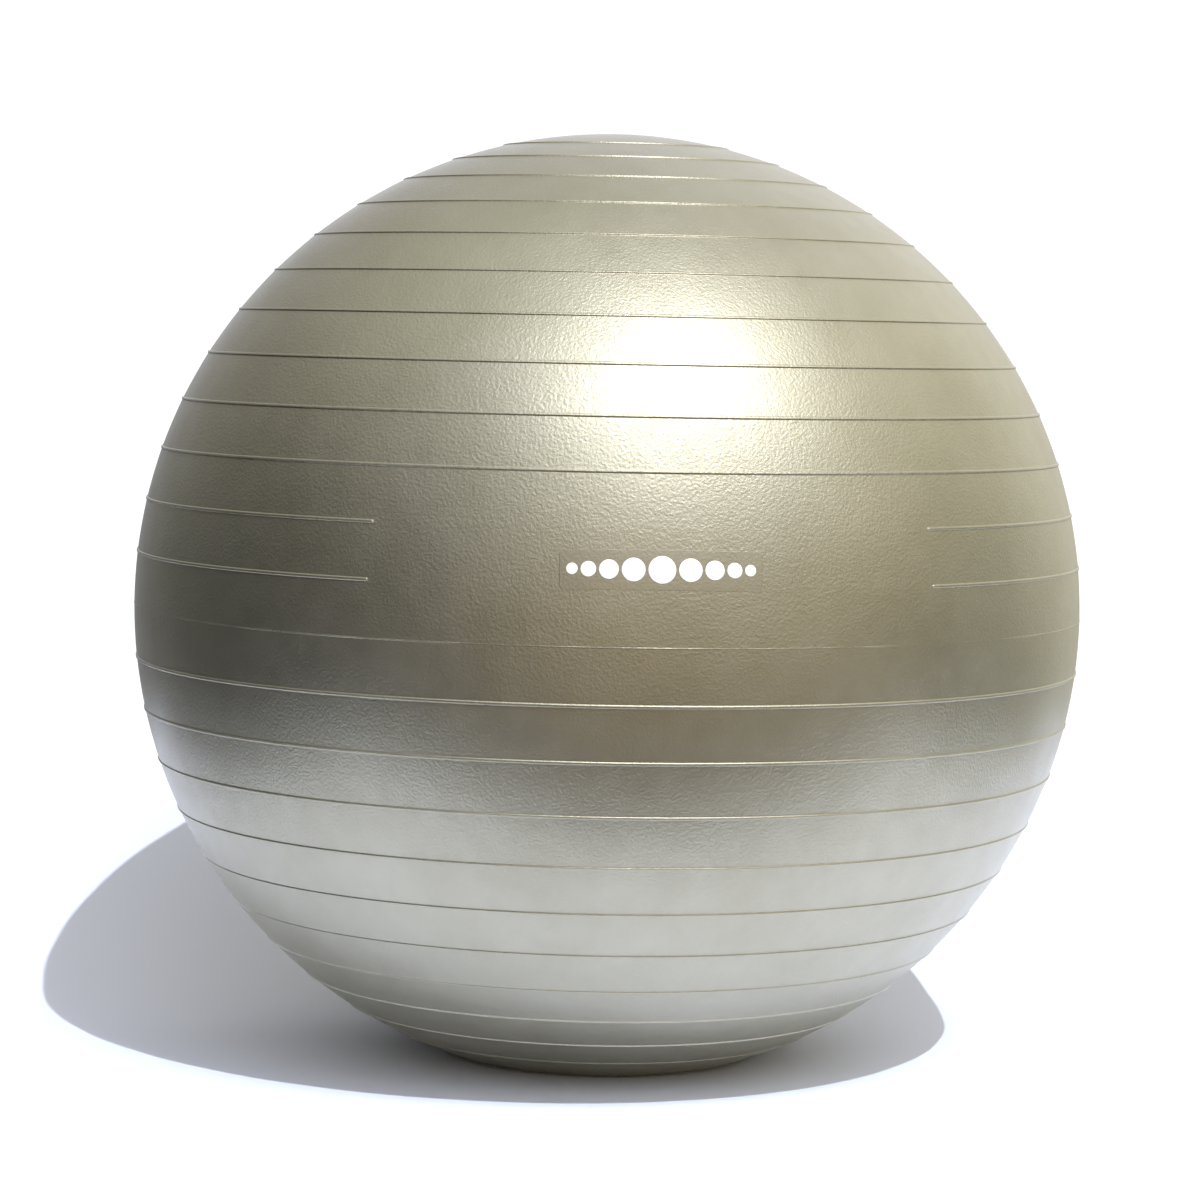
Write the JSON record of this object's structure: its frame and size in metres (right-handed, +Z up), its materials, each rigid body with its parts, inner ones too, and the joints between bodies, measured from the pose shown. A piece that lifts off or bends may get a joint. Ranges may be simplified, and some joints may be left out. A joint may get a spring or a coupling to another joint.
{
  "type": "exercise ball",
  "caption": "Large inflated exercise ball with raised latitude ribs, smooth panels, a push-in air valve plug and a printed patch.",
  "frame": {"origin": "centre of the flat contact face under the ball, on the floor", "axes": "+Z up, through both moulding poles and square to the parting line; -Y towards the printed front panel; +Y towards the valve panel"},
  "size_m": [0.6506, 0.6506, 0.6329],
  "materials": {
    "skin": "satin",
    "valve_seat": "matte",
    "plug": "satin",
    "film": "gloss",
    "ink": "satin"
  },
  "bodies": {
    "ball": {"ball_skin": "skin", "valve_seat": "valve_seat", "transfer_film": "film", "print_mark": "ink"},
    "plug": {"valve_plug": "plug"}
  },
  "joints": [
    {"name": "plug_pull", "type": "slide", "parent": "ball", "child": "plug", "axis": [0, 0.9863, 0.165], "range_m": [0, 0.04]}
  ]
}
